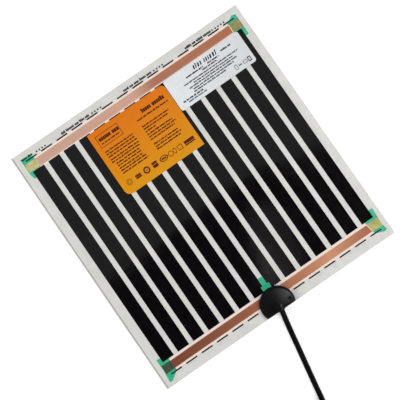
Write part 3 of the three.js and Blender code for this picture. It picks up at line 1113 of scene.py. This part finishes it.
def tie_strap(sizes):
    """The strap round the turns: a closed loop with round corners, its locking head on the outer side."""
    centre = coil_centre()
    out = Vector((math.cos(TIE_ANGLE), math.sin(TIE_ANGLE), 0))
    middle = Vector((*centre, 0)) + out * COIL_MEAN_RADIUS
    floor = LEAD_ROUTE[-1][2] - sizes.cord_diameter / MM / 2
    inner = 2 * sizes.cord_diameter / MM + 0.2
    turn = out.to_track_quat("X", "Z").to_matrix().to_4x4()
    bm = bmesh.new()
    upright = Matrix.Rotation(math.pi / 2, 4, "X")
    loops = []
    for size, radius in ((inner + 2 * TIE_THICKNESS, 3.2), (inner, 2.4)):
        made = bmesh.ops.create_grid(bm, x_segments=1, y_segments=1, size=size / 2, matrix=upright)
        corners = made["verts"]
        rounded = bmesh.ops.bevel(
            bm, geom=corners, offset=radius, segments=6, profile=0.5, affect="VERTICES", material=-1
        )
        face = rounded["verts"][0].link_faces[0]
        edges = [e for e in bm.edges if e.link_faces and e.link_faces[0] is face]
        bmesh.ops.delete(bm, geom=[face], context="FACES_ONLY")
        loops += edges
    bmesh.ops.bridge_loops(bm, edges=loops)
    ring = bmesh.ops.extrude_face_region(bm, geom=bm.faces[:])
    moved = [v for v in ring["geom"] if isinstance(v, bmesh.types.BMVert)]
    bmesh.ops.translate(bm, vec=(0, TIE_WIDTH, 0), verts=moved)
    bmesh.ops.translate(bm, vec=(0, -TIE_WIDTH / 2, 0), verts=bm.verts)
    bmesh.ops.recalc_face_normals(bm, faces=bm.faces)
    head = Matrix.Translation((inner / 2 + 1.3, 0, 1.5)) @ Matrix.Diagonal((2.4, 5.2, 4.6, 1))
    bmesh.ops.create_cube(bm, size=1, matrix=head)
    lift = floor + inner / 2 + TIE_THICKNESS
    place = Matrix.Translation(middle + UP * lift) @ turn
    bmesh.ops.transform(bm, verts=bm.verts, matrix=Matrix.Diagonal((MM, MM, MM, 1)) @ place)
    return object_from(bm, "coil_tie_strap")


class OBJECT_OT_heating_mat_cord(bpy.types.Operator):
    """Runs the supply cord to its coil and strips its end"""

    bl_idname = "object.heating_mat_cord"
    bl_label = "Run Cord"

    def execute(self, context):
        sizes, colours = settings_of(context)
        diameter = sizes.cord_diameter / MM
        count = round(COIL_TURNS * COIL_POINTS_PER_TURN)
        turns = [coil_point(k / COIL_POINTS_PER_TURN, diameter) for k in range(count + 1)]
        cord = tube_from("supply_cord", LEAD_ROUTE + turns + TAIL_ROUTE, sizes.cord_diameter, 16)
        sheath = sheath_material("Extruded black PVC sheath", colours.cord)
        fit_to_mat(cord, [sheath], ["power_cord", "cord_coil", "cord_tail"])

        wire = wire_material()
        shades = {"brown": "#6b3f22", "blue": "#2f6fb4"}
        ends = []
        for colour, route in CORE_ROUTES.items():
            core = tube_from(f"{colour}_core_sleeve", route, 2.3 * MM, 16)
            plastic = sheath_material(f"Extruded {colour} PVC insulation", from_hex(shades[colour]))
            fit_to_mat(core, [plastic], [f"core_{colour}"])
            strands = strand_bundle(f"{colour}_core_strands", route)
            fit_to_mat(strands, [wire], [f"stripped_end_{colour}"])
            ends += [core, strands]

        strap = tie_strap(sizes)
        nylon = sheath_material("Moulded black nylon strap", from_hex("#1b1b1d"), rough=0.5)
        fit_to_mat(strap, [nylon], ["coil_tie"])
        return {"FINISHED"}


# Studio


def add_softbox(name, place, target, width, height, power, in_gloss=True):
    """A plain rectangular studio light, aimed at a point. One that isn't in the gloss is never mirrored."""
    light = bpy.data.lights.new(name, "AREA")
    light.shape = "RECTANGLE"
    light.size, light.size_y = width, height
    light.energy = power
    obj = bpy.data.objects.new(name, light)
    obj.location = place
    obj.rotation_euler = (Vector(target) - Vector(place)).to_track_quat("-Z", "Y").to_euler()
    obj.visible_glossy = in_gloss
    bpy.context.scene.collection.objects.link(obj)


def add_card(name, place, size, corner, turn, glow):
    """A round-cornered card over the mat, which only the gloss of the film and the mouldings sees."""
    bm = bmesh.new()
    lie = Matrix.Translation(place) @ Matrix.Rotation(turn, 4, "Z") @ Matrix.Diagonal((*size, 1, 1))
    bmesh.ops.create_grid(bm, x_segments=1, y_segments=1, size=0.5, matrix=lie)
    corners = bm.verts[:]
    bmesh.ops.bevel(bm, geom=corners, offset=corner, segments=8, profile=0.5, affect="VERTICES", material=-1)
    card = object_from(bm, name)
    board, tree, shader, spot = new_material(f"Card, {name}", Roughness=1.0, Specular_IOR_Level=0.0)
    shader.inputs["Base Color"].default_value = from_hex("#000000")
    axes = add_node(tree, "ShaderNodeSeparateXYZ", {"Vector": spot})
    left = place[0] - size[0] / 2
    fade = add_node(
        tree,
        "ShaderNodeMapRange",
        {
            "Value": axes.outputs["X"],
            "From Min": left,
            "From Max": left + 0.35 * size[0],
            "To Min": glow,
            "To Max": 0.35 * glow,
        },
    )
    shader.inputs["Emission Color"].default_value = from_hex("#f2e6ee")
    tree.links.new(fade.outputs["Result"], shader.inputs["Emission Strength"])
    card.data.materials.append(board)
    card.visible_camera = False
    card.visible_diffuse = False
    card.visible_shadow = False


def add_camera():
    place, target = Vector(CAMERA_PLACE) * MM, Vector(CAMERA_TARGET) * MM
    back = (place - target).normalized()
    upright = Vector((math.sin(CAMERA_TURN), math.cos(CAMERA_TURN), 0))
    right = upright.cross(back).normalized()
    up = back.cross(right)
    data = bpy.data.cameras.new("Camera")
    data.lens = CAMERA_LENS
    camera = bpy.data.objects.new("Camera", data)
    camera.matrix_world = Matrix.Translation(place) @ Matrix((right, up, back)).transposed().to_4x4()
    bpy.context.scene.collection.objects.link(camera)
    bpy.context.scene.camera = camera


class OBJECT_OT_heating_mat_stage(bpy.types.Operator):
    """Sets the pale floor, the soft lights and the photograph's camera"""

    bl_idname = "object.heating_mat_stage"
    bl_label = "Set Stage"

    def execute(self, context):
        bm = bmesh.new()
        just_below = Matrix.Translation((0, 0, -0.2 * MM))
        bmesh.ops.create_grid(bm, x_segments=1, y_segments=1, size=4, matrix=just_below)
        floor = object_from(bm, "studio_floor")
        pale, tree, shader, place = new_material("Pale studio floor", Roughness=0.9)
        shader.inputs["Emission Color"].default_value = (1, 1, 1, 1)
        shader.inputs["Emission Strength"].default_value = 0.25
        even = drift(tree, place, 200 * MM, from_hex("#fbfbfb"), from_hex("#fdfdfd"))
        tree.links.new(even, shader.inputs["Base Color"])
        floor.data.materials.append(pale)

        world = bpy.data.worlds.new("Studio")
        world.use_nodes = True
        world.node_tree.nodes["Background"].inputs["Color"].default_value = (1, 1, 1, 1)
        world.node_tree.nodes["Background"].inputs["Strength"].default_value = 0.24
        context.scene.world = world
        context.scene.view_settings.view_transform = "Standard"

        middle = (0, -0.03, 0)
        add_softbox("Right softbox", (0.72, -0.12, 1.2), middle, 0.5, 0.9, 7)
        # Seen from low down, the film would mirror these three and its strips would turn white
        add_softbox("Left softbox", (-1.25, 0.2, 0.75), middle, 0.9, 0.9, 11, in_gloss=False)
        add_softbox("Far softbox", (0.1, 1.3, 0.8), middle, 0.9, 0.9, 11, in_gloss=False)
        add_softbox("Near softbox", (-0.1, -1.4, 0.8), middle, 0.9, 0.9, 10, in_gloss=False)
        add_card("studio_flag", (-0.0175, -0.312, 1.3), (0.575, 0.686), 0.12, 0.0, 0.0)
        add_card("studio_glow", (0.075, -0.13, 1.25), (0.09, 0.19), 0.04, math.radians(-20), 0.6)
        add_camera()
        return {"FINISHED"}


class VIEW3D_PT_heating_mat(bpy.types.Panel):
    """Lists the mat's steps and settings in the sidebar"""

    bl_label = "Mirror Heating Mat"
    bl_idname = "VIEW3D_PT_heating_mat"
    bl_space_type = "VIEW_3D"
    bl_region_type = "UI"
    bl_category = "Heating Mat"

    def draw(self, context):
        column = self.layout.column(align=True)
        for operator in OPERATORS:
            column.operator(operator.bl_idname, text=operator.bl_label)
        for group in settings_of(context):
            box = self.layout.box()
            for name in group.bl_rna.properties.keys():
                if name not in {"rna_type", "name"}:
                    box.prop(group, name)


OPERATORS = [
    OBJECT_OT_heating_mat_stage,
    OBJECT_OT_heating_mat_cord,
    OBJECT_OT_heating_mat_laminate,
    OBJECT_OT_heating_mat_tapes,
    OBJECT_OT_heating_mat_labels,
    OBJECT_OT_heating_mat_margin_print,
    OBJECT_OT_heating_mat_housing,
]
CLASSES = [HeatingMatSizes, HeatingMatColours, *OPERATORS, VIEW3D_PT_heating_mat]


def register():
    for cls in CLASSES:
        bpy.utils.register_class(cls)
    bpy.types.Scene.heating_mat_sizes = PointerProperty(type=HeatingMatSizes)
    bpy.types.Scene.heating_mat_colours = PointerProperty(type=HeatingMatColours)


def unregister():
    del bpy.types.Scene.heating_mat_colours
    del bpy.types.Scene.heating_mat_sizes
    for cls in reversed(CLASSES):
        bpy.utils.unregister_class(cls)


def main():
    register()
    for operator in OPERATORS:
        category, name = operator.bl_idname.split(".")
        getattr(getattr(bpy.ops, category), name)()


if __name__ == "__main__":
    main()
